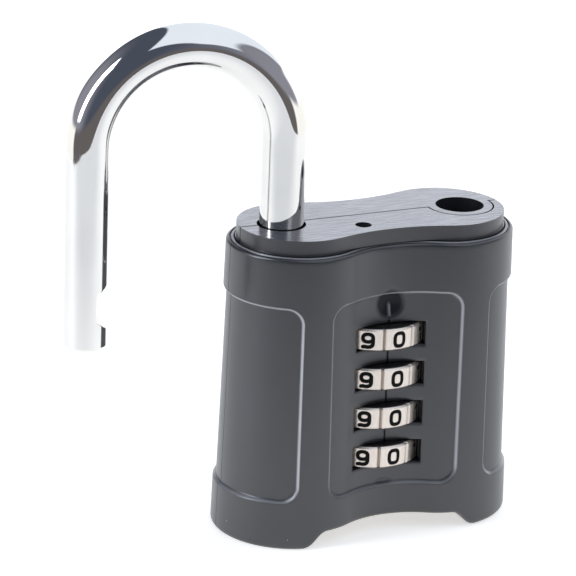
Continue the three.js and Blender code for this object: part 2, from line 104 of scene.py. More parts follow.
class BodySizes(bpy.types.PropertyGroup):
    """Sizes of the jacket that wraps the case."""

    lobe_spacing: length("Lobe spacing", "Between the centres of the two round ends", 29.0)
    lobe_radius: length("Lobe radius", "Radius of each round end at the shoulder", 12.95)
    half_waist: length("Half waist", "Half the thickness at the narrow middle", 9.3)
    draft: length("Draft", "How far the walls lean out from shoulder to base", 1.3)
    wall: length("Wall", "Thickness of the jacket's wall", 1.3)
    floor: length("Floor", "Thickness of the jacket's floor", 4.6)
    seam_y: length("Seam", "Where the halves meet, behind the middle", 0.5)
    seam_gap: length("Seam gap", "Gap between the halves", 0.14)
    base_round: length("Base round", "Radius of the base's edge", 1.0)
    shoulder_round: length("Shoulder round", "Radius of the top edge", 0.55)
    arch_height: length("Arch height", "Rise of the base between the feet", 2.9)
    arch_flat: length("Arch flat", "Half width of the arch's flat middle", 12.4)
    arch_foot: length("Arch foot", "Half width where the feet begin", 17.8)
    panel_top: length("Panel top", "Top edge of the sunk panels", -11.9)
    panel_bottom: length("Panel bottom", "Bottom edge of the sunk panels", -49.2)
    panel_depth: length("Panel depth", "How far the panels are sunk", 0.6)
    panel_ramp: length("Panel ramp", "Width of the step round a panel", 0.75)
    panel_corner: length("Panel corner", "Radius of the panels' corners", 3.3)
    waist_panel: length("Waist panel", "Half width of the middle panel, along the wall", 13.8)
    side_panel: length("Side panel", "Start of the side panels, along the wall", 18.9)
    window_half_width: length("Window half width", "Half width of each dial window", 6.9)
    window_half_height: length("Window half height", "Half height of each dial window", 2.2)
    window_edge: length("Window edge", "Chamfer round each dial window", 0.12)
    dimple_radius: length("Dimple radius", "Radius of the dimple over the windows", 2.9)
    dimple_depth: length("Dimple depth", "Depth of the dimple under the panel", 0.62)
    dimple_rise: length("Dimple rise", "Height of the dimple's middle above the first window", 3.8)
    mark_depth: length("Reading mark", "Depth of the upright reading line between windows", 0.28)


class ShackleSizes(bpy.types.PropertyGroup):
    """Sizes of the round bar that locks."""

    leg_spacing: length("Leg spacing", "Between the axes of heel and toe", 35.8)
    bar_radius: length("Bar radius", "Radius of the bar", 4.0)
    arch_centre: length("Arch centre", "Height of the bend's centre above the top face", 16.0)
    toe_end: length("Toe end", "Height of the toe's end", -20.6)
    heel_end: length("Heel end", "Height of the heel's end", -45.0)
    chamfer: length("Chamfer", "Chamfer at both ends", 0.7)
    neck_radius: length("Neck radius", "Radius of the heel's turned neck", 2.7)
    neck_bottom: length("Neck bottom", "Bottom of the heel's neck", -42.0)
    neck_top: length("Neck top", "Top of the heel's neck", -17.3)
    notch_centre: length("Notch centre", "Middle of the toe's notch", -12.6)
    notch_mouth: length("Notch mouth", "Height of the notch at the surface", 9.1)
    notch_floor: length("Notch floor", "Height of the notch at its floor", 4.9)
    notch_depth: length("Notch depth", "Depth of the notch", 2.9)
    swing: angle("Swing", "How far the shackle is turned from closed", 173)


class DialSizes(bpy.types.PropertyGroup):
    """Sizes of the four dials and their numbers."""

    radius: length("Radius", "Outer radius", 9.5)
    height: length("Height", "Height of a dial", 4.1)
    bore: length("Bore", "Radius of the hole", 5.6)
    axis_y: length("Axis", "How far the dials' axis stands in front of the middle", -2.6)
    bevel: length("Bevel", "Chamfer at the top and bottom of the face", 0.3)
    groove_width: length("Groove width", "Half width of the groove between pads", 0.34)
    groove_depth: length("Groove depth", "Depth of the groove between pads", 0.34)
    digit_width: length("Digit width", "Half width of a digit's strokes' middle line", 0.93)
    digit_height: length("Digit height", "Half height of a digit's strokes' middle line", 1.22)
    stroke: length("Stroke", "Half width of a digit's strokes", 0.35)
    engraving: length("Engraving", "Depth of the digits", 0.12)
    pads: IntProperty(name="Pads", description="Numbers on each dial", default=10, min=2)
    first_pad: angle("First pad", "Where the middle of pad 0 stands, from the front", 5)


def colour(label, text, default):
    """A linear colour."""
    return FloatVectorProperty(
        name=label, description=text, default=default, subtype="COLOR", min=0, max=1, size=3
    )


class Finishes(bpy.types.PropertyGroup):
    """Colours of the lock's materials."""

    paint: colour("Paint", "Satin black paint", (0.020, 0.0203, 0.0225))
    chrome: colour("Chrome", "Polished chrome", (0.81, 0.797, 0.76))
    nickel: colour("Nickel", "Satin nickel of the dials", (0.80, 0.715, 0.635))
    ink: colour("Ink", "Black in the digits", (0.006, 0.006, 0.006))
    steel: colour("Steel", "Plain steel of the inner pieces", (0.50, 0.51, 0.53))
    brass: colour("Brass", "Brass of the clutches", (0.62, 0.45, 0.18))


class StudioSettings(bpy.types.PropertyGroup):
    """Floor, light and camera."""

    azimuth: angle("Azimuth", "Camera's turn from the front", -26.5)
    elevation: angle("Elevation", "Camera's height angle", 20.5)
    roll: angle("Roll", "Camera's turn about its own axis", 2.7)
    distance: length("Distance", "From the camera to the body's middle", 608.0)
    lens: length("Lens", "Focal length", 206.7)
    target_z: length("Target", "Height that the distance is measured to", -28.0)
    aside: plain_number("Aside", "Body's shift right of the centre, over its distance", 0.0232)
    below: plain_number("Below", "Body's shift below the centre, over its distance", 0.0214)
    floor_radius: length("Floor radius", "Radius of the floor", 290.0)
    floor_glow: plain_number("Floor glow", "Strength of the floor's own light", 0.62)


# ---- Mesh making ----


def steps(*pieces):
    """Joined runs of numbers: each piece is (start, end, count), and the next run goes on from its end."""
    runs = [np.linspace(start, end, count, endpoint=False) for start, end, count in pieces]
    return np.concatenate(runs + [[pieces[-1][1]]])


def smooth(low, high, x):
    """0 below low, 1 above high, and 3t^2 - 2t^3 between them."""
    t = np.clip((x - low) / (high - low), 0, 1)
    return t * t * (3 - 2 * t)


def grid_quads(rows, columns, close_rows=False, close_columns=False):
    """Index quads of a rows x columns grid of points, joined back to its start where it is closed."""
    index = np.arange(rows * columns).reshape(rows, columns)
    if close_rows:
        index = np.vstack([index, index[:1]])
    if close_columns:
        index = np.hstack([index, index[:, :1]])
    return np.stack([index[:-1, :-1], index[:-1, 1:], index[1:, 1:], index[1:, :-1]], axis=-1)


def write_mesh(name, points, quads, attributes=None):
    """A mesh from points in millimetres and index quads, with one number for each point in each attribute."""
    points, quads = points.reshape(-1, 3), quads.reshape(-1, 4)
    mesh = bpy.data.meshes.new(name)
    mesh.vertices.add(len(points))
    mesh.vertices.foreach_set("co", (points * MM).astype(np.float32).ravel())
    mesh.loops.add(quads.size)
    mesh.loops.foreach_set("vertex_index", quads.astype(np.int32).ravel())
    mesh.polygons.add(len(quads))
    mesh.polygons.foreach_set("loop_start", np.arange(0, quads.size, 4, dtype=np.int32))
    for key, values in (attributes or {}).items():
        layer = mesh.attributes.new(key, "FLOAT", "POINT")
        layer.data.foreach_set("value", values.astype(np.float32).ravel())
    mesh.update(calc_edges=True)
    mesh.validate()
    return mesh


def shade_smooth(mesh, crease):
    """Shades a mesh smooth, except over edges that bend more than crease degrees."""
    mesh.polygons.foreach_set("use_smooth", np.ones(len(mesh.polygons), bool))
    mesh.set_sharp_from_angle(angle=math.radians(crease))
    mesh.update()


def tidy_mesh(mesh, crease, cap_loops=(), weld=2e-7):
    """Closes the given loops with one face each, welds touching points, turns all faces outwards and
    shades it smooth."""
    work = bmesh.new()
    work.from_mesh(mesh)
    work.verts.ensure_lookup_table()
    for loop in cap_loops:
        work.faces.new([work.verts[int(i)] for i in loop])
    bmesh.ops.remove_doubles(work, verts=work.verts, dist=weld)
    bmesh.ops.dissolve_degenerate(work, edges=work.edges, dist=weld / 2)
    bmesh.ops.recalc_face_normals(work, faces=work.faces)
    work.to_mesh(mesh)
    work.free()
    shade_smooth(mesh, crease)


def add_piece(name, mesh, material, body, nodes):
    """Puts a mesh into the scene, riding on a body and standing for its CAD nodes."""
    piece = bpy.data.objects.new(name, mesh)
    bpy.context.scene.collection.objects.link(piece)
    mesh.materials.clear()
    mesh.materials.append(material)
    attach(piece, body)
    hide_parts(*nodes)
    return piece


# ---- Materials ----


class Graph:
    """The node tree of a material or a world, with short calls for the nodes used here."""

    def __init__(self, owner, output="OutputMaterial"):
        owner.use_nodes = True
        self.tree = owner.node_tree
        self.tree.nodes.clear()
        self.output = self.tree.nodes.new("ShaderNode" + output)

    def add(self, kind, settings=None, **inputs):
        """A node; inputs are numbers, colours or other nodes' sockets, by name with _ for a space."""
        node = self.tree.nodes.new("ShaderNode" + kind)
        for key, value in (settings or {}).items():
            setattr(node, key, value)
        for key, value in inputs.items():
            self.put(node.inputs[key.replace("_", " ")], value)
        return node

    def put(self, socket, value):
        """Links a socket to another, or sets its value."""
        if isinstance(value, bpy.types.NodeSocket):
            self.tree.links.new(value, socket)
        else:
            socket.default_value = (*value, 1) if socket.type == "RGBA" else value

    def place(self, scale=(1, 1, 1), turn=(0, 0, 0)):
        """Object coordinates in millimetres, scaled and turned."""
        coordinates = self.add("TexCoord").outputs["Object"]
        scale = tuple(s / MM for s in scale)
        return self.add("Mapping", Vector=coordinates, Scale=scale, Rotation=turn).outputs[0]

    def noise(self, vector, scale, detail=3.0, roughness=0.5):
        """Cloudy noise from 0 to 1."""
        node = self.add("TexNoise", Vector=vector, Scale=scale, Detail=detail, Roughness=roughness)
        return node.outputs["Fac"]

    def remap(self, value, low, high, to_low=0.0, to_high=1.0, smoothly=False):
        """A value moved from one range to another, and kept inside it."""
        node = self.add("MapRange", {"interpolation_type": "SMOOTHSTEP" if smoothly else "LINEAR"})
        names = ("Value", "From Min", "From Max", "To Min", "To Max")
        for name, number in zip(names, (value, low, high, to_low, to_high)):
            self.put(node.inputs[name], number)
        return node.outputs["Result"]

    def math(self, operation, a, b):
        """One sum, product or the like of two values."""
        node = self.add("Math", {"operation": operation})
        self.put(node.inputs[0], a)
        self.put(node.inputs[1], b)
        return node.outputs[0]

    def times(self, a, b):
        """The product of two values."""
        return self.math("MULTIPLY", a, b)

    def dot(self, vector, direction):
        """The dot product of a vector and a fixed direction."""
        node = self.add("VectorMath", {"operation": "DOT_PRODUCT"}, Vector=vector)
        node.inputs[1].default_value = direction
        return node.outputs["Value"]

    def mix(self, factor, a, b):
        """Colour a where the factor is 0, and b where it is 1."""
        node = self.add("Mix", {"data_type": "RGBA"})
        for index, value in ((0, factor), (6, a), (7, b)):
            self.put(node.inputs[index], value)
        return node.outputs[2]

    def bump(self, height, strength, distance, normal=None):
        """A normal tilted by the slope of a height; distance is in millimetres."""
        node = self.add("Bump", Strength=strength, Distance=distance * MM, Height=height)
        if normal is not None:
            self.put(node.inputs["Normal"], normal)
        return node.outputs[0]

    def attribute(self, name):
        """A number stored on the mesh's points."""
        return self.add("Attribute", {"attribute_name": name}).outputs["Fac"]

    def finish(self, kind="BsdfPrincipled", **inputs):
        """The shader that the output shows, with constants on its own sockets."""
        shader = self.add(kind, **inputs)
        self.tree.links.new(shader.outputs[0], self.output.inputs["Surface"])


def shade(colour_given, factor):
    """A colour made darker or lighter."""
    return tuple(c * factor for c in colour_given)


def satin_paint(name, colours, streaked):
    """Satin black paint: soft cloudy gloss, a fine orange-peel skin, a few pale dust specks, a painted
    highlight as a paler line on edges, and less gloss in the dimple, which paints shade into it. The streaked
    kind is worn down to slanting brushed metal on surfaces that face up."""
    material = bpy.data.materials.new(name)
    graph = Graph(material)
    plain = graph.place()
    cloud = graph.noise(plain, 0.11, 4)
    peel = graph.noise(plain, 3.2, 2)
    grain = graph.noise(plain, 11.0, 2)
    dust = graph.add("TexVoronoi", {"feature": "F1"}, Vector=plain, Scale=0.24, Randomness=1.0)
    speck_size = graph.remap(graph.noise(plain, 0.5, 1), 0.52, 0.7, 0.0, 0.045)
    speck = graph.math("LESS_THAN", dust.outputs["Distance"], speck_size)
    clouded = graph.remap(cloud, 0.3, 0.7)
    base = graph.mix(clouded, shade(colours.paint, 0.86), shade(colours.paint, 1.16))
    base = graph.mix(graph.times(speck, 0.5), base, (0.5, 0.5, 0.52))
    # Paler paint along the panels' edges, the bead and the ridge: a painted highlight.
    base = graph.mix(graph.times(graph.attribute("painted_highlight"), 0.8), base, (0.5, 0.5, 0.51))
    rough = graph.remap(cloud, 0.3, 0.7, 0.33, 0.39)
    normal = graph.bump(grain, 0.05, 0.02, graph.bump(peel, 0.10, 0.05))
    metal = 0.0
    if streaked:
        brushed = graph.place((0.18, 4.2, 1.0), (0, 0, math.radians(-32)))
        streaks = graph.noise(brushed, 1.0, 5, 0.62)
        surface = graph.add("NewGeometry").outputs["Normal"]
        up = graph.add("SeparateXYZ", Vector=surface).outputs["Z"]
        facing_up = graph.remap(up, 0.9, 0.98)
        marks = graph.remap(streaks, 0.35, 0.66)
        worn = graph.times(facing_up, graph.remap(marks, 0, 1, 0.35, 1.0))
        base = graph.mix(worn, base, (0.38, 0.38, 0.395))
        polish = graph.times(facing_up, graph.remap(marks, 0, 1, -0.16, -0.08))
        rough = graph.math("ADD", polish, rough)
        normal = graph.bump(graph.times(streaks, facing_up), 0.12, 0.05, normal)
        metal = graph.times(facing_up, graph.remap(marks, 0, 1, 0.6, 0.95))
    graph.finish(
        Base_Color=base,
        Roughness=rough,
        Normal=normal,
        Metallic=metal,
        IOR=1.7,
        # Gloss cut where the dimple is deep: painted shade in the dimple.
        Specular_IOR_Level=graph.remap(graph.attribute("hollow"), 0.0, 0.4, 0.5, 0.0),
        Coat_Weight=0.2,
        Coat_Roughness=0.16,
        Coat_IOR=1.5,
    )
    return material


def chrome(colours):
    """Polished chrome with hair scratches along the bar and a few dull spots."""
    material = bpy.data.materials.new("polished chrome")
    graph = Graph(material)
    plain = graph.place()
    scratch = graph.noise(graph.place((2.6, 2.6, 0.07)), 1.0, 4, 0.6)
    spots = graph.remap(graph.noise(plain, 0.42, 4, 0.65), 0.62, 0.78)
    cloud = graph.remap(graph.noise(plain, 0.05, 2), 0.35, 0.65)
    tone = graph.mix(cloud, shade(colours.chrome, 0.93), colours.chrome)
    haze = graph.remap(scratch, 0.45, 0.75, 0.025, 0.075)
    rough = graph.math("ADD", haze, graph.times(spots, 0.10))
    graph.finish(Base_Color=tone, Metallic=1.0, Roughness=rough, Normal=graph.bump(scratch, 0.05, 0.02))
    return material


def satin_nickel(colours):
    """Warm satin nickel with fine upright scratches and black in the digits; the dial's flat sides get a
    near-black painted shade with faint rings of painted highlight, and the grooves between pads a darker
    painted shade.
    """
    material = bpy.data.materials.new("satin nickel")
    graph = Graph(material)
    scratch = graph.noise(graph.place((5.5, 5.5, 0.35)), 1.0, 5, 0.65)
    cloud = graph.noise(graph.place(), 0.35, 3)
    ink = graph.remap(graph.attribute("digit"), -0.03, 0.03, 1.0, 0.0, True)
    # The flat top and bottom of each dial are painted near-black as painted shade, with faint brownish rings
    # as painted highlights.
    side = graph.remap(graph.attribute("side"), 0.3, 0.7)
    rings = graph.times(graph.remap(graph.attribute("radius"), 0, 1), 30.0)
    worn = graph.noise(graph.add("CombineXYZ", X=rings).outputs[0], 1.0, 3)
    metal = graph.mix(graph.remap(scratch, 0.3, 0.7), shade(colours.nickel, 0.80), colours.nickel)
    metal = graph.mix(graph.remap(cloud, 0.4, 0.75, 0, 0.35), metal, (0.70, 0.65, 0.58))
    # Darker brown in the grooves between pads: painted shade.
    groove = graph.remap(graph.attribute("groove"), 0.1, 1.0)
    metal = graph.mix(graph.times(groove, 0.45), metal, (0.12, 0.10, 0.085))
    # Near-black painted shade on the flat sides, with the rings as painted highlight.
    flat = graph.mix(graph.remap(worn, 0.5, 0.68), (0.012, 0.012, 0.013), (0.10, 0.085, 0.07))
    base = graph.mix(ink, graph.mix(side, metal, flat), colours.ink)
    graph.finish(
        Base_Color=base,
        Metallic=graph.times(graph.remap(ink, 0, 1, 1, 0), graph.remap(side, 0, 1, 1, 0.3)),
        Roughness=graph.math("ADD", graph.remap(scratch, 0.3, 0.7, 0.24, 0.36), graph.times(ink, 0.12)),
        Specular_IOR_Level=graph.remap(ink, 0, 1, 0.5, 0.08),
        Normal=graph.bump(scratch, 0.16, 0.02),
    )
    return material


def turned_metal(name, tint, roughness):
    """Plain metal with lathe rings across its axis."""
    material = bpy.data.materials.new(name)
    graph = Graph(material)
    rings = graph.noise(graph.place((0.3, 0.3, 7.0)), 1.0, 4)
    stain = graph.noise(graph.place(), 0.4, 3)
    base = graph.mix(graph.remap(stain, 0.35, 0.7), tint, shade(tint, 0.72))
    rough = graph.remap(rings, 0.3, 0.7, roughness - 0.06, roughness + 0.08)
    graph.finish(Base_Color=base, Metallic=1.0, Roughness=rough, Normal=graph.bump(rings, 0.15, 0.03))
    return material


# ---- The jacket ----

# Groove and bead round the jacket's top, as (out, up) from the shoulder's edge, and the bead's first row.
LIP = (
    (-0.58, -0.04), (-0.66, -0.34), (-0.78, -0.36), (-0.86, -0.10), (-0.94, 0.02),
    (-1.2, 0.08), (-1.38, 0.05), (-1.45, -0.05), (-1.45, -0.4),
)
# The second number is the strength of the painted highlight laid on the bead.
BEAD_ROW, BEAD_HIGHLIGHT = 4, 0.75
INNER_TOP = 0.2  # how far under the jacket's top its inner wall starts

# Rows are close together this far inside and outside a panel's ends.
PANEL_INSIDE, PANEL_OUTSIDE = 1.2, 0.9
# The painted highlight on the panels' edges is weaker near their bottom: by this share, up to the first
# height over it, and in full from the second.
PANEL_HIGHLIGHT_LOW, PANEL_HIGHLIGHT_START, PANEL_HIGHLIGHT_FULL = 0.35, 1.5, 4.0
WINDOW_ROWS = 11

DIMPLE_SPREAD = 1.12  # reach of the dimple's soft border, for a radius of 1
RIDGE_HEIGHT = 0.42
RIDGE_FOOT, RIDGE_CREST = 0.5, 0.16  # half widths
RIDGE_START, RIDGE_FULL = 0.4, -0.6  # heights over the dimple's middle
# Strength of the painted highlight on the ridge over the dimple.
RIDGE_HIGHLIGHT = 0.35
MARK_HALF_WIDTH = 0.2
MARK_ABOVE = 0.5  # how far the reading line reaches over the first window
SCOOP_HALF_WIDTH, SCOOP_HALF_HEIGHT, SCOOP_DEPTH = 1.9, 0.65, 0.22
SCOOP_BELOW = 3.2  # from the last window to the middle of the shallow scoop under it


class Outline:
    """The waisted outline of one half: a hollow curve between two round lobes, ending at the seam.

    Each column is one place along it, from the left end of the seam over the front to the right end.
    In the hollow, x = a W + b T, where W is the window's half width and T the x where hollow and lobe
    meet; in a lobe the column is a share f of the angle from there to the seam. Moving the wall out by d
    shortens the hollow's radius and lengthens the lobes' radius by d, about the same centres.
    """

    def __init__(self, sizes, seam, windowed):
        self.sizes = sizes
        self.seam = seam
        half, radius, waist = sizes.lobe_spacing / 2, sizes.lobe_radius, sizes.half_waist
        self.centre = half
        self.hollow = (half**2 + waist**2 - radius**2) / (2 * (radius - waist))
        self.lean = math.atan2(waist + self.hollow, half)
        self.turn = math.pi / 2 - self.lean
        coarse = 1 if windowed else 3
        lobe = steps(
            (0, 0.14, 10), (0.14, 0.27, 30), (0.27, 0.32, 5), (0.32, 0.46, 32), (0.46, 1, 40 // coarse + 12)
        )[1:]
        ramp = steps((0, 1, 6))[1:]
        window = steps((-1, 1, 120 // coarse))
        no_lobe = np.zeros(len(lobe))
        no_hollow = np.zeros(len(window) + 2 * len(ramp))
        self.a = np.concatenate([no_lobe, ramp[::-1] - 1, window, 1 - ramp, no_lobe])
        self.b = np.concatenate([no_lobe, -ramp[::-1], 0 * window, ramp, no_lobe])
        self.f = np.concatenate([lobe[::-1], no_hollow, lobe])
        self.side = np.concatenate([no_lobe - 1, no_hollow, no_lobe + 1])
        left = len(lobe) + len(ramp)
        self.window_columns = (left, left + len(window) - 1)

    def place(self, out):
        """x and y of every column, for walls moved out by the given rows x columns distances."""
        hollow = self.hollow - out
        x_hollow = self.a * self.sizes.window_half_width + self.b * hollow * math.sin(self.turn)
        y_hollow = np.sqrt(hollow**2 - x_hollow**2) - self.sizes.half_waist - self.hollow
        radius = self.sizes.lobe_radius + out
        start = self.lean - math.pi
        angle = start + self.f * (np.arcsin(self.seam / radius) - start)
        x_lobe = self.side * (self.centre + radius * np.cos(angle))
        y_lobe = radius * np.sin(angle)
        in_lobe = self.side != 0
        return np.where(in_lobe, x_lobe, x_hollow), np.where(in_lobe, y_lobe, y_hollow)

    def along(self):
        """Distance of every column from the middle, along the shoulder's outline."""
        x, _ = self.place(np.zeros((1, len(self.a))))
        hollow = self.hollow * np.arcsin(np.clip(x[0] / self.hollow, -1, 1))
        start = self.lean - math.pi
        angle = self.f * (math.asin(self.seam / self.sizes.lobe_radius) - start)
        lobe = self.side * (self.hollow * self.turn + self.sizes.lobe_radius * angle)
        return np.where(self.side != 0, lobe, hollow)


def arch_rise(sizes, x):
    """Height of the base's underside above the feet: 0 at the feet, flat in the middle, and between them
    the curve x(t) = F(1-t)^3 + 3M(1-t)^2 t + 3M(1-t)t^2 + C t^3, z(t) = H(3t^2 - 2t^3), M = (F + C)/2."""
    foot, flat = sizes.arch_foot, sizes.arch_flat
    middle = (foot + flat) / 2
    t = np.linspace(0, 1, 60)
    across = foot * (1 - t) ** 3 + 3 * middle * ((1 - t) ** 2 * t + (1 - t) * t**2) + flat * t**3
    rise = sizes.arch_height * (3 * t**2 - 2 * t**3)
    return np.interp(np.abs(x), across[::-1], rise[::-1])


def rounded_box(across, up, half_across, half_up, corner):
    """Distance outside a rectangle with round corners; it is negative inside."""
    qx = np.abs(across) - half_across + corner
    qz = np.abs(up) - half_up + corner
    return np.hypot(np.maximum(qx, 0), np.maximum(qz, 0)) + np.minimum(np.maximum(qx, qz), 0) - corner


def panel_sink(sizes, along, z):
    """0 on the ribs and 1 in the sunk panels: a smooth step of the distance to the nearest panel's edge."""
    middle = (sizes.panel_top + sizes.panel_bottom) / 2
    half_up = (sizes.panel_top - sizes.panel_bottom) / 2
    far = 60.0
    waist = rounded_box(along, z - middle, sizes.waist_panel, half_up, sizes.panel_corner)
    side = rounded_box(np.abs(along) - sizes.side_panel - far, z - middle, far, half_up, sizes.panel_corner)
    return smooth(0, sizes.panel_ramp, -np.minimum(waist, side))


def wall_heights(sizes, windows, top):
    """Heights of the outer wall's rows from under the panels up, with one at each window's edge."""
    half = sizes.window_half_height
    start, end = sizes.panel_bottom + PANEL_INSIDE, sizes.panel_top - PANEL_INSIDE
    pieces = [(sizes.panel_bottom - PANEL_OUTSIDE, start, 22)]
    for i, z in enumerate(sorted(windows)):
        pieces += [(start, z - half, 8 if i else 9), (z - half, z + half, WINDOW_ROWS)]
        start = z + half
    pieces += [(start, end, 32 if windows else 26), (end, sizes.panel_top + PANEL_OUTSIDE, 22)]
    return steps(*pieces, (sizes.panel_top + PANEL_OUTSIDE, top - sizes.shoulder_round, 10))


def inner_heights(sizes, windows, top, floor):
    """Heights of the inner wall's rows from its top down, with the same rows across each window."""
    half = sizes.window_half_height
    start, pieces = top - INNER_TOP, []
    for i, z in enumerate(sorted(windows, reverse=True)):
        pieces += [(start, z + half, 1 if i else 2), (z + half, z - half, WINDOW_ROWS)]
        start = z - half
    return steps(*pieces, (start, floor, 2 if windows else 4))


def front_marks(sizes, x, z, windows):
    """The dimple with its ridge, the reading line and the scoop: how far the wall moves out for them,
    how deep a point lies in the dimple, which sets the painted shade there, and how much painted highlight it
    gets."""
    aside = np.abs(x)
    first = max(windows) + sizes.window_half_height
    middle = first + sizes.dimple_rise
    reach = np.hypot(x, z - middle) / sizes.dimple_radius
    bowl = np.clip(1 - (reach / DIMPLE_SPREAD) ** 2, 0, 1) ** 1.5
    ridge = smooth(RIDGE_FOOT, RIDGE_CREST, aside) * smooth(middle + RIDGE_START, middle + RIDGE_FULL, z)
    between = (z < first + MARK_ABOVE) & (z > min(windows))
    scoop_z = min(windows) - sizes.window_half_height - SCOOP_BELOW
    scoop = 1 - (x / SCOOP_HALF_WIDTH) ** 2 - ((z - scoop_z) / SCOOP_HALF_HEIGHT) ** 2
    out = RIDGE_HEIGHT * ridge * (z > first) * smooth(0, 0.4, bowl) - sizes.dimple_depth * bowl
    out -= sizes.mark_depth * smooth(MARK_HALF_WIDTH, 0, aside) * between
    out -= SCOOP_DEPTH * smooth(0, 0.9, scoop)
    # Painted highlight on the ridge's crest.
    painted_highlight = RIDGE_HIGHLIGHT * ridge * (z > first + 0.6) * smooth(0.1, 0.5, bowl)
    return out, bowl * (1 - ridge), painted_highlight


def nearest(levels, z):
    """Index of the level closest to a height."""
    return int(np.argmin(np.abs(levels - z)))


def bridge(outer, inner):
    """Quads between two rows of point indices."""
    return np.stack([outer[:-1], outer[1:], inner[1:], inner[:-1]], axis=-1)


def jacket_half(name, sizes, front, windows):
    """One half of the jacket, as a closed loop of rows carried along the outline.

    From the base's edge the rows go up the drafted wall, over the shoulder, down the inner wall, along
    the floor to the seam's plane, down it, and back along the arched underside. On the wall
    out = draft (top - z)/(top - base) - depth sink(s, z), plus the front's marks; the dial windows are
    left out of the outer and inner wall and closed by reveals.
    """
    seam = (sizes.seam_y if front else -sizes.seam_y) - sizes.seam_gap / 2
    outline = Outline(sizes, seam, bool(windows))
    top, base = JACKET_TOP_Z, BASE_Z
    count = len(outline.a)
    along = outline.along()

    def draft(z):
        return sizes.draft * (top - z) / (top - base)

    foot_x, _ = outline.place(np.full((1, count), sizes.draft))
    under = base + arch_rise(sizes, foot_x[0])

    # Base's edge: a quarter round, from the underside up.
    turn = np.linspace(math.pi / 2, 0, 8)[:, None]
    fillet_z = under + sizes.base_round * (1 - np.sin(turn))
    fillet_out = draft(fillet_z) - sizes.base_round * (1 - np.cos(turn))

    # Wall up to the shoulder.
    levels = wall_heights(sizes, windows, top)
    share = steps((0, 1, 8))[1:-1, None]
    lower_z = (under + sizes.base_round) * (1 - share) + levels[0] * share
    z = np.vstack([lower_z, np.repeat(levels[:, None], count, axis=1)])
    sink = panel_sink(sizes, along, z)
    out = draft(z) - sizes.panel_depth * sink
    # Painted highlight along the panels' sunk edges, weaker near their bottom.
    rise = smooth(PANEL_HIGHLIGHT_START, PANEL_HIGHLIGHT_FULL, z - sizes.panel_bottom)
    wall_painted_highlight = smooth(0.0, 0.12, sink) * smooth(0.95, 0.5, sink)
    wall_painted_highlight *= PANEL_HIGHLIGHT_LOW + (1 - PANEL_HIGHLIGHT_LOW) * rise
    # Depth in the dimple, which cuts the paint's gloss there as painted shade.
    wall_dimple_shade = np.zeros_like(z)
    if windows:
        x_wall, _ = outline.place(draft(z))
        moved, wall_dimple_shade, ridge_painted_highlight = front_marks(sizes, x_wall, z, windows)
        out += moved
        wall_painted_highlight += ridge_painted_highlight

    # Shoulder: a quarter round, a shallow groove and a bead. Then the inner wall down to the floor.
    turn = np.linspace(0, math.pi / 2, 7)[1:, None] + np.zeros((1, count))
    shoulder_z = top - sizes.shoulder_round * (1 - np.sin(turn))
    shoulder_out = draft(shoulder_z) - sizes.shoulder_round * (1 - np.cos(turn))
    lip_out, lip_up = (np.repeat(column[:, None], count, axis=1) for column in np.array(LIP).T)
    inner_floor = base + sizes.floor
    inner_levels = inner_heights(sizes, windows, top, inner_floor)
    inner_z = np.repeat(inner_levels[:, None], count, axis=1)
    inner_out = np.full_like(inner_z, -sizes.wall)

    # Windows: chamfered rims, and the rows that each one spans outside and inside.
    left, right = outline.window_columns
    inner_start = len(fillet_z) + len(z) + len(shoulder_z) + len(LIP)
    openings = []
    for centre in windows:
        edges = (centre - sizes.window_half_height, centre + sizes.window_half_height)
        low, high = (len(lower_z) + nearest(levels, edge) for edge in edges)
        inner_low, inner_high = (inner_start + nearest(inner_levels, edge) for edge in edges)
        rim = np.zeros(out.shape, bool)
        rim[low : high + 1, left : right + 1] = True
        rim[low + 1 : high, left + 1 : right] = False
        out[rim] -= sizes.window_edge
        openings.append((len(fillet_z) + low, len(fillet_z) + high, inner_low, inner_high))

    # Floor, seam's plane and underside, each along lines of one x.
    x, y = outline.place(np.vstack([fillet_out, out, shoulder_out, lip_out, inner_out]))
    all_z = np.vstack([fillet_z, z, shoulder_z, top + lip_up, inner_z])
    share = np.linspace(0, 1, 4)[1:, None]
    floor_y = y[-1:] * (1 - share) + seam * share
    floor_x = np.repeat(x[-1:], len(share), axis=0)
    floor_z = np.full_like(floor_x, inner_floor)
    plane_x = (x[-1:] + x[:1]) / 2
    plane_z = (inner_floor + under[None]) / 2
    share = np.linspace(0, 1, 7)[:-1, None]
    under_y = seam * (1 - share) + y[:1] * share
    under_x = np.repeat(x[:1], len(share), axis=0)
    under_z = np.repeat(under[None], len(share), axis=0)
    x = np.vstack([x, floor_x, plane_x, under_x])
    y = np.vstack([y, floor_y, np.full_like(plane_x, seam), under_y])
    all_z = np.vstack([all_z, floor_z, plane_z, under_z])

    rows = len(all_z)
    quads = grid_quads(rows, count, close_rows=True)
    keep = np.ones(quads.shape[:2], bool)
    index = np.arange(rows * count).reshape(rows, count)
    reveals = []
    for low, high, inner_low, inner_high in openings:
        keep[low:high, left:right] = False
        keep[inner_high:inner_low, left:right] = False
        for outer_row, inner_row in ((low, inner_low), (high, inner_high)):
            reveals.append(bridge(index[outer_row, left : right + 1], index[inner_row, left : right + 1]))
        for column in (left, right):
            inner_column = index[inner_high : inner_low + 1, column][::-1]
            reveals.append(bridge(index[low : high + 1, column], inner_column))
    faces = np.concatenate([quads[keep]] + reveals)
    points = np.stack([x, y if front else -y, all_z], axis=-1)

    painted_highlight, hollow = np.zeros((2, rows, count))
    wall = slice(len(fillet_z), len(fillet_z) + len(z))
    painted_highlight[wall] = wall_painted_highlight
    hollow[wall] = wall_dimple_shade
    bead = wall.stop + len(shoulder_z) + BEAD_ROW
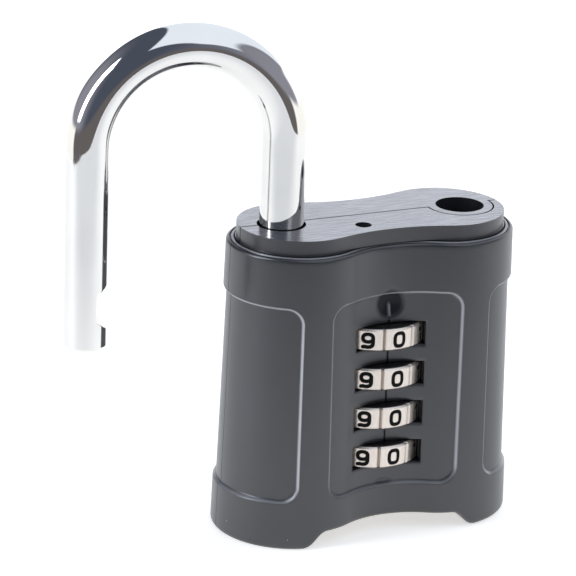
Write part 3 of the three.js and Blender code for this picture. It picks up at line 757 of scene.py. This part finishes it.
    # Painted highlight: a pale line along the bead.
    painted_highlight[bead : bead + 2] = BEAD_HIGHLIGHT
    mesh = write_mesh(name, points, faces, {"painted_highlight": painted_highlight, "hollow": hollow})
    tidy_mesh(mesh, 38, cap_loops=(index[:, 0], index[:, -1]))
    return mesh


# ---- The shackle ----

BAR_SIDES = 176
BEND_ROWS, NOTCH_ROWS = 150, 96
NECK_EDGE, NECK_TAPER = 0.15, 1.2  # chamfer at the neck's bottom and height of the cone at its top
NOTCH_MARGIN = 0.2  # rows are close together this far past the notch


def shackle_bar(name, sizes):
    """The bent bar, as circles carried along heel, bend and toe.

    At a distance s along the middle line, a point is C(s) + r(s)(u N(s) + v Y), where N points away from
    the bend's centre, Y is the cross direction and (u, v) goes round the unit circle. The radius drops at the
    heel's neck and at both ends. In the toe, r u is kept above -(r - d(z)), which cuts the notch of depth d.
    """
    bend = sizes.leg_spacing / 2
    heel = sizes.arch_centre - sizes.heel_end
    arc = math.pi * bend
    toe = sizes.arch_centre - sizes.toe_end
    radius, chamfer = sizes.bar_radius, sizes.chamfer
    neck_low = sizes.neck_bottom - sizes.heel_end
    neck_high = sizes.neck_top - sizes.heel_end
    notch_low = sizes.arch_centre - sizes.notch_centre - sizes.notch_mouth / 2 - NOTCH_MARGIN
    notch_high = notch_low + sizes.notch_mouth + 2 * NOTCH_MARGIN
    ends = [(0, 0.02), (0, radius * 0.5), (0, radius - chamfer)]
    ends += [(chamfer * 0.5, radius - chamfer * 0.42), (chamfer, radius)]
    start = ends + [(neck_low - NECK_EDGE, radius), (neck_low, radius - NECK_EDGE)]
    start += [(neck_low, sizes.neck_radius), (neck_high - NECK_TAPER, sizes.neck_radius)]
    start += [(neck_high, radius - 0.4), (neck_high + 0.5, radius)]
    straight = [(s, radius) for s in np.linspace(neck_high + 1.5, heel, 12, endpoint=False)]
    bent = [(s, radius) for s in np.linspace(heel, heel + arc, BEND_ROWS, endpoint=False)]
    after = heel + arc
    toe_rows = [(after + s, radius) for s in np.linspace(0, notch_low, 10, endpoint=False)]
    toe_rows += [(after + s, radius) for s in np.linspace(notch_low, notch_high, NOTCH_ROWS)]
    toe_rows += [(after + toe - s, r) for s, r in ends[::-1]]
    s, r = np.array(start + straight + bent + toe_rows).T
    around = np.linspace(0, TAU, BAR_SIDES, endpoint=False)

    turn = np.clip((s - heel) / bend, 0, math.pi)
    down = np.maximum(s - after, 0)
    centre_x = bend - bend * np.cos(turn)
    centre_z = np.where(s < heel, sizes.heel_end + s, sizes.arch_centre + bend * np.sin(turn) - down)
    normal_x, normal_z = -np.cos(turn), np.sin(turn)

    u = r[:, None] * np.cos(around)
    v = r[:, None] * np.sin(around)
    away = np.abs(centre_z - sizes.notch_centre)
    depth = sizes.notch_depth * np.clip(
        (sizes.notch_mouth / 2 - away) / ((sizes.notch_mouth - sizes.notch_floor) / 2), 0, 1
    )
    depth = np.where(s > after, depth, 0)[:, None]
    u = np.where(depth > 0, np.maximum(u, -(radius - depth)), u)

    x = centre_x[:, None] + normal_x[:, None] * u
    y = v
    z = centre_z[:, None] + normal_z[:, None] * u
    cos, sin = math.cos(sizes.swing), math.sin(sizes.swing)
    points = np.stack([HEEL_X + cos * x - sin * y, sin * x + cos * y, z], axis=-1)
    rows, columns = x.shape
    quads = grid_quads(rows, columns, close_columns=True)
    mesh = write_mesh(name, points, quads)
    index = np.arange(rows * columns).reshape(rows, columns)
    tidy_mesh(mesh, 30, cap_loops=(index[0], index[-1]))
    return mesh


# ---- The dials ----

PAD_COLUMNS, FACE_ROWS = 92, 58
BEVEL_MIDDLE = 0.45  # where the chamfer's middle row lies, as a share of its height
BEVEL_POWER = 1.6  # roundness of the chamfer
ENGRAVED_FROM, ENGRAVED_TO = 0.03, -0.09  # the engraving's slope, as distances outside a stroke


def arc(cx, cy, rx, ry, start, end, count=14, square=1.0):
    """Points on an ellipse between two angles in degrees; square above 1 squares its corners off."""
    t = np.radians(np.linspace(start, end, count))
    x, y = (np.sign(v) * np.abs(v) ** (1 / square) for v in (np.cos(t), np.sin(t)))
    return np.stack([cx + rx * x, cy + ry * y], 1)


def digit_strokes():
    """Middle lines of the strokes of 0 to 9, in a box from -1 to 1 both ways."""
    nine = [
        arc(0, 0.40, 1, 0.60, 0, 360, 28, 1.15),
        np.concatenate([[[1, 0.45], [1, -0.3]], arc(0, -0.35, 1, 0.65, 0, -118, 12, 1.15), [[-0.95, -1.0]]]),
    ]
    return [
        [arc(0, 0, 1, 1, 0, 360, 40, 1.5)],
        [np.array([[-0.55, 0.62], [0.12, 1.0], [0.12, -1.0]])],
        [np.concatenate([arc(0, 0.45, 0.95, 0.55, 165, -35, 14), [[-0.95, -1.0], [1.0, -1.0]]])],
        [arc(-0.05, 0.50, 0.88, 0.50, 155, -90, 14), arc(0, -0.46, 0.98, 0.54, 90, -155, 14)],
        [np.array([[0.42, -1.0], [0.42, 1.0], [-1.0, -0.42], [1.0, -0.42]])],
        [np.concatenate([[[0.9, 1], [-0.75, 1], [-0.85, 0.12]], arc(0, -0.32, 1, 0.68, 140, -150, 16)])],
        [-stroke for stroke in nine],
        [np.array([[-0.95, 1.0], [0.95, 1.0], [-0.2, -1.0]])],
        [arc(0, 0.50, 0.82, 0.50, 0, 360, 24), arc(0, -0.46, 1.0, 0.54, 0, 360, 24)],
        nine,
    ]


def distance_to_strokes(strokes, across, up):
    """Distance of each point to the nearest segment of the strokes, in millimetres."""
    best = np.full(across.shape, 1e3)
    for line in strokes:
        for (ax, ay), (bx, by) in zip(line[:-1], line[1:]):
            dx, dy = bx - ax, by - ay
            t = np.clip(((across - ax) * dx + (up - ay) * dy) / (dx * dx + dy * dy + 1e-12), 0, 1)
            best = np.minimum(best, np.hypot(across - ax - t * dx, up - ay - t * dy))
    return best


def dial(name, sizes, centre_z):
    """A ring with numbered pads, as rows carried round its axis.

    The outer radius is R less a groove G(1 - |s|/w) at each pad's border, less the chamfer
    at the top and bottom of the face, less the engraving where the distance to the digit's strokes is under
    the stroke's half width; s is the distance along the face from the border.
    """
    columns = sizes.pads * PAD_COLUMNS
    angle = np.arange(columns) / columns * TAU
    pad = np.arange(columns) // PAD_COLUMNS
    offset = ((np.arange(columns) % PAD_COLUMNS) / PAD_COLUMNS - 0.5) * TAU / sizes.pads * sizes.radius
    half = sizes.height / 2
    bevel_rows = np.array([half - BEVEL_MIDDLE * sizes.bevel, half])
    flat_rows = steps((-half + sizes.bevel, half - sizes.bevel, FACE_ROWS))
    face_v = np.concatenate([-bevel_rows[::-1], flat_rows, bevel_rows])
    chamfer = sizes.bevel * np.clip((np.abs(face_v) - half + sizes.bevel) / sizes.bevel, 0, 1) ** BEVEL_POWER

    strokes = digit_strokes()
    digit = np.full((len(face_v), columns), 1.0)
    scale = np.array([sizes.digit_width, sizes.digit_height])
    for number in range(sizes.pads):
        at = pad == number
        lines = [line * scale for line in strokes[number % 10]]
        digit[:, at] = distance_to_strokes(lines, offset[at][None], face_v[:, None]) - sizes.stroke
    border = TAU / sizes.pads * sizes.radius / 2 - np.abs(offset)
    groove = np.clip(1 - border / sizes.groove_width, 0, 1)
    face_r = sizes.radius - chamfer[:, None] - sizes.groove_depth * groove[None]
    face_r = face_r - sizes.engraving * smooth(ENGRAVED_FROM, ENGRAVED_TO, digit)

    side_share = np.linspace(0, 1, 8)[1:, None]
    edge = face_r[-1:]
    top_r = edge * (1 - side_share) + sizes.bore * side_share
    bottom_r = top_r[::-1]
    radius = np.vstack([bottom_r, face_r, top_r])
    v = np.concatenate([np.full(len(bottom_r), -half), face_v, np.full(len(top_r), half)])
    # Marks the flat top and bottom, which the nickel paints near-black as painted shade.
    side = np.concatenate([np.ones(len(bottom_r)), np.zeros(len(face_v)), np.ones(len(top_r))])
    rows = len(v)
    turn = angle + sizes.first_pad - math.pi / 2 - math.pi / sizes.pads
    x = radius * np.cos(turn)
    y = sizes.axis_y + radius * np.sin(turn)
    z = np.repeat((centre_z + v)[:, None], columns, axis=1)
    face = slice(len(bottom_r), len(bottom_r) + len(face_v))
    digit_all, groove_all = np.ones((rows, columns)), np.zeros((rows, columns))
    digit_all[face] = digit
    groove_all[face] = groove
    quads = grid_quads(rows, columns, close_rows=True, close_columns=True)
    attributes = {
        "digit": digit_all,
        "side": np.repeat(side[:, None], columns, axis=1),
        "groove": groove_all,
        "radius": radius / sizes.radius,
    }
    mesh = write_mesh(name, np.stack([x, y, z], axis=-1), quads, attributes)
    tidy_mesh(mesh, 30)
    return mesh


# ---- The case, from its CAD solids ----

# Bends in degrees: less than the first is joined flat, more than the second is rounded off, and after that
# more than the third is shaded as an edge.
CASE_FLAT, CASE_EDGE, CASE_CREASE = 0.5, 32, 12
CASE_ROUND = 0.16


def softened_copy(name, node, bevel):
    """A copy of a CAD node's solid, merged, with flat faces joined and its sharp edges rounded."""
    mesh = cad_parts[node].data.copy()
    mesh.name = name
    work = bmesh.new()
    work.from_mesh(mesh)
    bmesh.ops.remove_doubles(work, verts=work.verts, dist=1e-7)
    bmesh.ops.dissolve_limit(work, angle_limit=math.radians(CASE_FLAT), verts=work.verts, edges=work.edges)
    edge_angle = math.radians(CASE_EDGE)
    sharp = [e for e in work.edges if len(e.link_faces) == 2 and e.calc_face_angle(0) > edge_angle]
    bmesh.ops.bevel(
        work, geom=sharp, offset=bevel * MM, offset_type="OFFSET", segments=2, profile=0.5,
        affect="EDGES", clamp_overlap=True,
    )
    bmesh.ops.triangulate(work, faces=[f for f in work.faces if len(f.verts) > 4])
    work.to_mesh(mesh)
    work.free()
    shade_smooth(mesh, CASE_CREASE)
    return mesh


# ---- Operators ----


class PadlockStep:
    """What the steps share: each one builds into the scene."""

    def execute(self, context):
        self.build(context.scene)
        return {"FINISHED"}


class PADLOCK_OT_jacket(PadlockStep, bpy.types.Operator):
    """Builds the jacket's two halves, with panels, windows, dimple and reading line"""

    bl_idname = "padlock.jacket"
    bl_label = "Jacket"

    def build(self, scene):
        sizes = scene.padlock_body
        paint = satin_paint("satin black paint", scene.padlock_finishes, False)
        windows = [float(cad_middle(node)[2]) for node in DIALS]
        for node, front, openings in (("jacket_front", True, windows), ("jacket_back", False, [])):
            mesh = jacket_half(node + "_wall", sizes, front, openings)
            add_piece(node + "_wall", mesh, paint, "case", [node])


class PADLOCK_OT_case(PadlockStep, bpy.types.Operator):
    """Rounds the edges of the case's two halves and gives its top its brushed look"""

    bl_idname = "padlock.case"
    bl_label = "Case"

    def build(self, scene):
        paint = satin_paint("brushed black paint", scene.padlock_finishes, True)
        for half in ("case_front", "case_back"):
            mesh = softened_copy(half + "_block", half, CASE_ROUND)
            add_piece(half + "_block", mesh, paint, "case", [half])


class PADLOCK_OT_shackle(PadlockStep, bpy.types.Operator):
    """Builds the chrome shackle with its notch and turned neck"""

    bl_idname = "padlock.shackle"
    bl_label = "Shackle"

    def build(self, scene):
        mesh = shackle_bar("shackle_bar", scene.padlock_shackle)
        plating = chrome(scene.padlock_finishes)
        add_piece("shackle_bar", mesh, plating, "shackle", ["shackle"])


class PADLOCK_OT_dials(PadlockStep, bpy.types.Operator):
    """Builds the four dials with engraved numbers"""

    bl_idname = "padlock.dials"
    bl_label = "Dials"

    def build(self, scene):
        sizes = scene.padlock_dials
        nickel = satin_nickel(scene.padlock_finishes)
        for node in DIALS:
            mesh = dial(node + "_ring", sizes, cad_middle(node)[2])
            add_piece(node + "_ring", mesh, nickel, node, [node])


class PADLOCK_OT_inside(PadlockStep, bpy.types.Operator):
    """Gives the inner pieces their plain steel and brass"""

    bl_idname = "padlock.inside"
    bl_label = "Inner pieces"

    def build(self, scene):
        colours = scene.padlock_finishes
        steel = turned_metal("plain steel", colours.steel, 0.34)
        brass = turned_metal("machined brass", colours.brass, 0.30)
        steel_nodes = ["thrust_washer", "shackle_follower", "heel_pin", "spindle", "spindle_spring"]
        steel_nodes += ["locking_bolt", "bolt_spring", "reset_pin", "detent_plate", *SCREWS]
        for nodes, material, slot in ((steel_nodes, steel, "plain_steel"), (CLUTCHES, brass, "brass")):
            for node in nodes:
                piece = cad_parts[node]
                piece.data.materials.clear()
                piece.data.materials.append(material)


def level_directions(azimuth):
    """The level directions to the camera's right and from the body towards the camera."""
    cos, sin = math.cos(azimuth), math.sin(azimuth)
    return Vector((cos, sin, 0)), Vector((sin, -cos, 0))


def studio_world(scene):
    """Light from all round: white behind and low down, a dark table in front, a dim cool room above, a broad
    pale panel overhead and a narrow bright one to the left. The camera itself sees white."""
    world = bpy.data.worlds.new("studio")
    scene.world = world
    graph = Graph(world, "OutputWorld")
    direction = graph.add("TexCoord").outputs["Generated"]
    right, front = level_directions(scene.padlock_studio.azimuth)
    across, ahead, up = (graph.dot(direction, axis) for axis in (right, front, (0, 0, 1)))
    slant = graph.dot(direction, right - 0.19 * front)

    def fade(value, start, end):
        """0 before start and 1 past end, whichever of the two is higher."""
        ends = (0.0, 1.0) if start < end else (1.0, 0.0)
        return graph.remap(value, min(start, end), max(start, end), *ends, True)

    # Each patch of light is laid over those before it. Its borders are (direction, outside, inside).
    patches = {
        "behind": ((2.2, 2.2, 2.25), (up, 0.30, 0.20), (ahead, -0.20, -0.62), (across, -0.62, -0.40)),
        "backdrop": ((1.9, 1.9, 1.95), (up, 0.46, 0.36), (ahead, -0.80, -0.88), (across, -0.24, -0.18)),
        "panel": (
            (0.98, 1.06, 1.20),
            (slant, -0.07, -0.03), (across, 0.80, 0.74), (up, 0.24, 0.30), (ahead, 0.78, 0.74),
        ),
        "strip": (
            (8.0, 8.5, 9.6),
            (ahead, 0.20, 0.27), (ahead, 0.52, 0.46), (up, 0.04, 0.14), (across, -0.52, -0.57),
        ),
        "below": ((1.2, 1.2, 1.2), (up, 0.02, -0.06), (ahead, 0.34, 0.20)),
        "table": ((0.15, 0.138, 0.142), (up, 0.02, -0.10), (ahead, 0.20, 0.34)),
    }
    room, sides, seen_by_camera = (0.080, 0.094, 0.135), (0.30, 0.305, 0.37), (1.15, 1.15, 1.15)
    light = graph.mix(fade(graph.times(across, across), 0.12, 0.8), room, sides)
    for patch_light, *borders in patches.values():
        factor = 1.0
        for border in borders:
            factor = graph.times(factor, fade(*border))
        light = graph.mix(factor, light, patch_light)
    camera_ray = graph.add("LightPath").outputs["Is Camera Ray"]
    graph.finish("Background", Color=graph.mix(camera_ray, light, seen_by_camera), Strength=1.0)


def pale_floor(scene):
    """A round floor under the feet, pale and glowing like a light table, less so towards the camera."""
    settings = scene.padlock_studio
    below_feet = 0.02
    ring = steps((0.0, 1.0, 10))[:, None] * settings.floor_radius
    turn = np.linspace(0, TAU, 96, endpoint=False)[None]
    height = np.full((len(ring), turn.size), BASE_Z - below_feet)
    points = np.stack([ring * np.cos(turn), ring * np.sin(turn), height], axis=-1)
    quads = grid_quads(*height.shape, close_columns=True)
    mesh = write_mesh("floor", points, quads)
    tidy_mesh(mesh, 30)
    material = bpy.data.materials.new("pale floor")
    graph = Graph(material)
    base = graph.mix(graph.noise(graph.place(), 0.02, 2), (0.70, 0.70, 0.70), (0.74, 0.74, 0.74))
    _, front = level_directions(settings.azimuth)
    towards = graph.dot(graph.add("TexCoord").outputs["Object"], front)
    glow = graph.remap(towards, 0.05, 0.20, settings.floor_glow, settings.floor_glow * 0.5, True)
    graph.finish(Base_Color=base, Roughness=0.7, Emission_Color=(1.0, 0.985, 0.955), Emission_Strength=glow)
    mesh.materials.append(material)
    floor = bpy.data.objects.new("floor", mesh)
    scene.collection.objects.link(floor)


def studio_camera(scene):
    """A long lens at the given turn, height and roll, aimed so that the body stands right of the centre and
    below it."""
    settings = scene.padlock_studio
    elevation, roll = settings.elevation, settings.roll
    level, front = level_directions(settings.azimuth)
    back = front * math.cos(elevation) + Vector((0, 0, math.sin(elevation)))
    upright = back.cross(level)
    right = level * math.cos(roll) + upright * math.sin(roll)
    up = upright * math.cos(roll) - level * math.sin(roll)
    place = Vector((0, 0, settings.target_z)) + back * settings.distance
    forward = (-back - right * settings.aside + up * settings.below).normalized()
    axis_x = forward.cross(up).normalized()
    axis_y = axis_x.cross(forward)
    turned = Matrix((axis_x, axis_y, -forward)).transposed().to_4x4()
    data = bpy.data.cameras.new("camera")
    data.lens = settings.lens
    data.sensor_width = 36
    data.clip_start, data.clip_end = 0.01, 20
    camera = bpy.data.objects.new("camera", data)
    camera.matrix_world = Matrix.Translation(place * MM) @ turned
    scene.collection.objects.link(camera)
    scene.camera = camera


class PADLOCK_OT_stage(PadlockStep, bpy.types.Operator):
    """Sets the pale floor, the soft studio light and the camera"""

    bl_idname = "padlock.stage"
    bl_label = "Studio"

    def build(self, scene):
        pale_floor(scene)
        studio_world(scene)
        studio_camera(scene)
        scene.view_settings.view_transform = "Standard"


OPERATORS = (
    PADLOCK_OT_jacket,
    PADLOCK_OT_case,
    PADLOCK_OT_shackle,
    PADLOCK_OT_dials,
    PADLOCK_OT_inside,
    PADLOCK_OT_stage,
)


class PADLOCK_PT_panel(bpy.types.Panel):
    """Lists the steps that build the padlock"""

    bl_label = "Combination Padlock"
    bl_idname = "PADLOCK_PT_panel"
    bl_space_type = "VIEW_3D"
    bl_region_type = "UI"
    bl_category = "Padlock"

    def draw(self, context):
        for operator in OPERATORS:
            self.layout.operator(operator.bl_idname)


SCENE_GROUPS = {
    "padlock_body": BodySizes,
    "padlock_shackle": ShackleSizes,
    "padlock_dials": DialSizes,
    "padlock_finishes": Finishes,
    "padlock_studio": StudioSettings,
}
CLASSES = (*SCENE_GROUPS.values(), *OPERATORS, PADLOCK_PT_panel)


def register():
    for cls in CLASSES:
        bpy.utils.register_class(cls)
    for name, group in SCENE_GROUPS.items():
        setattr(bpy.types.Scene, name, PointerProperty(type=group))


def unregister():
    for name in SCENE_GROUPS:
        delattr(bpy.types.Scene, name)
    for cls in reversed(CLASSES):
        bpy.utils.unregister_class(cls)


def main():
    register()
    bpy.ops.padlock.jacket()
    bpy.ops.padlock.case()
    bpy.ops.padlock.shackle()
    bpy.ops.padlock.dials()
    bpy.ops.padlock.inside()
    bpy.ops.padlock.stage()


if __name__ == "__main__":
    main()
